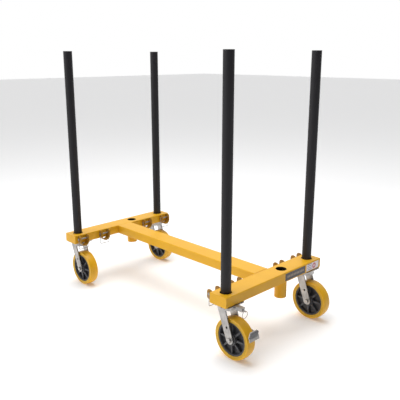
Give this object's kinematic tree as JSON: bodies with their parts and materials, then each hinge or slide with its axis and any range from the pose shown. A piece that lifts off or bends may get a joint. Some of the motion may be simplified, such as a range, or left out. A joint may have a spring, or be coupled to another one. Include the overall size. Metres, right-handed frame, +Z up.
{
  "type": "drywall sheet cart",
  "caption": "Low welded deck on swivel casters with lift-out upright posts, for moving stacks of drywall sheets on edge or flat.",
  "frame": {"origin": "on the floor, under the middle of the cart's outline", "axes": "+X towards the front end, which has the labels, the wheel brake and the swivel lock; +Y towards the left side; +Z up"},
  "size_m": [1.4432, 0.724, 1.367],
  "materials": {
    "yellow_paint": "satin powder coat",
    "black_paint": "satin powder coat",
    "black_plastic": "moulded",
    "zinc_plate": "bright zinc plate",
    "zinc_wire": "bright zinc plate",
    "bearing_steel": "ground",
    "core_plastic": "moulded",
    "tread_urethane": "cast, satin",
    "pedal_grey": "satin",
    "dark_label": "printed film",
    "pale_label": "printed film"
  },
  "bodies": {
    "frame": {"front_crossbar": "yellow_paint", "rear_crossbar": "yellow_paint", "centre_beam": "yellow_paint", "crossbar_end_plates": "yellow_paint", "post_sockets": "yellow_paint", "middle_sockets": "yellow_paint", "front_cradles": "yellow_paint", "rear_cradles": "yellow_paint", "caster_plates": "zinc_plate", "caster_bolts": "zinc_plate", "king_pins": "zinc_plate", "swivel_balls": "bearing_steel", "swivel_lock_housing": "zinc_plate", "strip_label": "dark_label", "end_label": "pale_label"},
    "front_left_post": {"front_left_post": "black_paint", "front_left_post_cap": "black_plastic"},
    "front_right_post": {"front_right_post": "black_paint", "front_right_post_cap": "black_plastic"},
    "rear_left_post": {"rear_left_post": "black_paint", "rear_left_post_cap": "black_plastic"},
    "rear_right_post": {"rear_right_post": "black_paint", "rear_right_post_cap": "black_plastic"},
    "front_left_fork": {"front_left_fork": "zinc_plate", "front_left_axle": "zinc_plate"},
    "front_left_wheel": {"front_left_wheel_core": "core_plastic", "front_left_tread": "tread_urethane", "front_left_wheel_bearings": "bearing_steel"},
    "front_right_fork": {"front_right_fork": "zinc_plate", "front_right_axle": "zinc_plate"},
    "front_right_wheel": {"front_right_wheel_core": "core_plastic", "front_right_tread": "tread_urethane", "front_right_wheel_bearings": "bearing_steel"},
    "rear_left_fork": {"rear_left_fork": "zinc_plate", "rear_left_axle": "zinc_plate"},
    "rear_left_wheel": {"rear_left_wheel_core": "core_plastic", "rear_left_tread": "tread_urethane", "rear_left_wheel_bearings": "bearing_steel"},
    "rear_right_fork": {"rear_right_fork": "zinc_plate", "rear_right_axle": "zinc_plate"},
    "rear_right_wheel": {"rear_right_wheel_core": "core_plastic", "rear_right_tread": "tread_urethane", "rear_right_wheel_bearings": "bearing_steel"},
    "front_lock_pin_1": {"front_lock_pin_1": "zinc_wire"},
    "front_lock_pin_2": {"front_lock_pin_2": "zinc_wire"},
    "front_lock_pin_3": {"front_lock_pin_3": "zinc_wire"},
    "front_lock_pin_4": {"front_lock_pin_4": "zinc_wire"},
    "rear_lock_pin_1": {"rear_lock_pin_1": "zinc_wire"},
    "rear_lock_pin_2": {"rear_lock_pin_2": "zinc_wire"},
    "rear_lock_pin_3": {"rear_lock_pin_3": "zinc_wire"},
    "rear_lock_pin_4": {"rear_lock_pin_4": "zinc_wire"},
    "brake": {"brake_arm": "zinc_plate", "brake_pedal": "pedal_grey"},
    "swivel_lock": {"swivel_lock_plunger": "zinc_plate"},
    "swivel_lock_ring": {"swivel_lock_ring": "zinc_plate"}
  },
  "joints": [
    {"name": "front_left_post_lift", "type": "slide", "parent": "frame", "child": "front_left_post", "axis": [0, 0, 1], "range_m": [0, 0.055]},
    {"name": "front_right_post_lift", "type": "slide", "parent": "frame", "child": "front_right_post", "axis": [0, 0, 1], "range_m": [0, 0.055]},
    {"name": "rear_left_post_lift", "type": "slide", "parent": "frame", "child": "rear_left_post", "axis": [0, 0, 1], "range_m": [0, 0.055]},
    {"name": "rear_right_post_lift", "type": "slide", "parent": "frame", "child": "rear_right_post", "axis": [0, 0, 1], "range_m": [0, 0.055]},
    {"name": "front_left_swivel", "type": "hinge", "parent": "frame", "child": "front_left_fork", "pos_m": [0.55778, 0.298, 0.25], "axis": [0, 0, 1], "continuous": true},
    {"name": "front_left_wheel_spin", "type": "hinge", "parent": "front_left_fork", "child": "front_left_wheel", "pos_m": [0.60178, 0.298, 0.1016], "axis": [0, 1, 0], "continuous": true},
    {"name": "front_right_swivel", "type": "hinge", "parent": "frame", "child": "front_right_fork", "pos_m": [0.55778, -0.298, 0.25], "axis": [0, 0, 1], "continuous": true},
    {"name": "front_right_wheel_spin", "type": "hinge", "parent": "front_right_fork", "child": "front_right_wheel", "pos_m": [0.60178, -0.298, 0.1016], "axis": [0, 1, 0], "continuous": true},
    {"name": "rear_left_swivel", "type": "hinge", "parent": "frame", "child": "rear_left_fork", "pos_m": [-0.66422, 0.298, 0.25], "axis": [0, 0, 1], "continuous": true},
    {"name": "rear_left_wheel_spin", "type": "hinge", "parent": "rear_left_fork", "child": "rear_left_wheel", "pos_m": [-0.62022, 0.298, 0.1016], "axis": [0, 1, 0], "continuous": true},
    {"name": "rear_right_swivel", "type": "hinge", "parent": "frame", "child": "rear_right_fork", "pos_m": [-0.66422, -0.298, 0.25], "axis": [0, 0, 1], "continuous": true},
    {"name": "rear_right_wheel_spin", "type": "hinge", "parent": "rear_right_fork", "child": "rear_right_wheel", "pos_m": [-0.62022, -0.298, 0.1016], "axis": [0, 1, 0], "continuous": true},
    {"name": "front_lock_pin_1_swing", "type": "hinge", "parent": "frame", "child": "front_lock_pin_1", "pos_m": [0.48548, -0.316, 0.2944], "axis": [0, 1, 0], "range_deg": [-8, 180]},
    {"name": "front_lock_pin_2_swing", "type": "hinge", "parent": "frame", "child": "front_lock_pin_2", "pos_m": [0.48548, -0.166, 0.2944], "axis": [0, 1, 0], "range_deg": [-8, 180]},
    {"name": "front_lock_pin_3_swing", "type": "hinge", "parent": "frame", "child": "front_lock_pin_3", "pos_m": [0.48548, 0.166, 0.2944], "axis": [0, 1, 0], "range_deg": [-8, 180]},
    {"name": "front_lock_pin_4_swing", "type": "hinge", "parent": "frame", "child": "front_lock_pin_4", "pos_m": [0.48548, 0.316, 0.2944], "axis": [0, 1, 0], "range_deg": [-8, 180]},
    {"name": "rear_lock_pin_1_swing", "type": "hinge", "parent": "frame", "child": "rear_lock_pin_1", "pos_m": [-0.59192, -0.316, 0.2944], "axis": [0, -1, 0], "range_deg": [-8, 180]},
    {"name": "rear_lock_pin_2_swing", "type": "hinge", "parent": "frame", "child": "rear_lock_pin_2", "pos_m": [-0.59192, -0.166, 0.2944], "axis": [0, -1, 0], "range_deg": [-8, 180]},
    {"name": "rear_lock_pin_3_swing", "type": "hinge", "parent": "frame", "child": "rear_lock_pin_3", "pos_m": [-0.59192, 0.166, 0.2944], "axis": [0, -1, 0], "range_deg": [-8, 180]},
    {"name": "rear_lock_pin_4_swing", "type": "hinge", "parent": "frame", "child": "rear_lock_pin_4", "pos_m": [-0.59192, 0.316, 0.2944], "axis": [0, -1, 0], "range_deg": [-8, 180]},
    {"name": "brake_press", "type": "hinge", "parent": "front_right_fork", "child": "brake", "pos_m": [0.58478, -0.298, 0.158], "axis": [0, 1, 0], "range_deg": [0, 5]},
    {"name": "swivel_lock_slide", "type": "slide", "parent": "frame", "child": "swivel_lock", "axis": [-1, 0, 0], "range_m": [0, 0.006]},
    {"name": "swivel_lock_ring_swing", "type": "hinge", "parent": "swivel_lock", "child": "swivel_lock_ring", "pos_m": [0.65878, -0.298, 0.25145], "axis": [0, -1, 0], "range_deg": [-5, 85]}
  ]
}
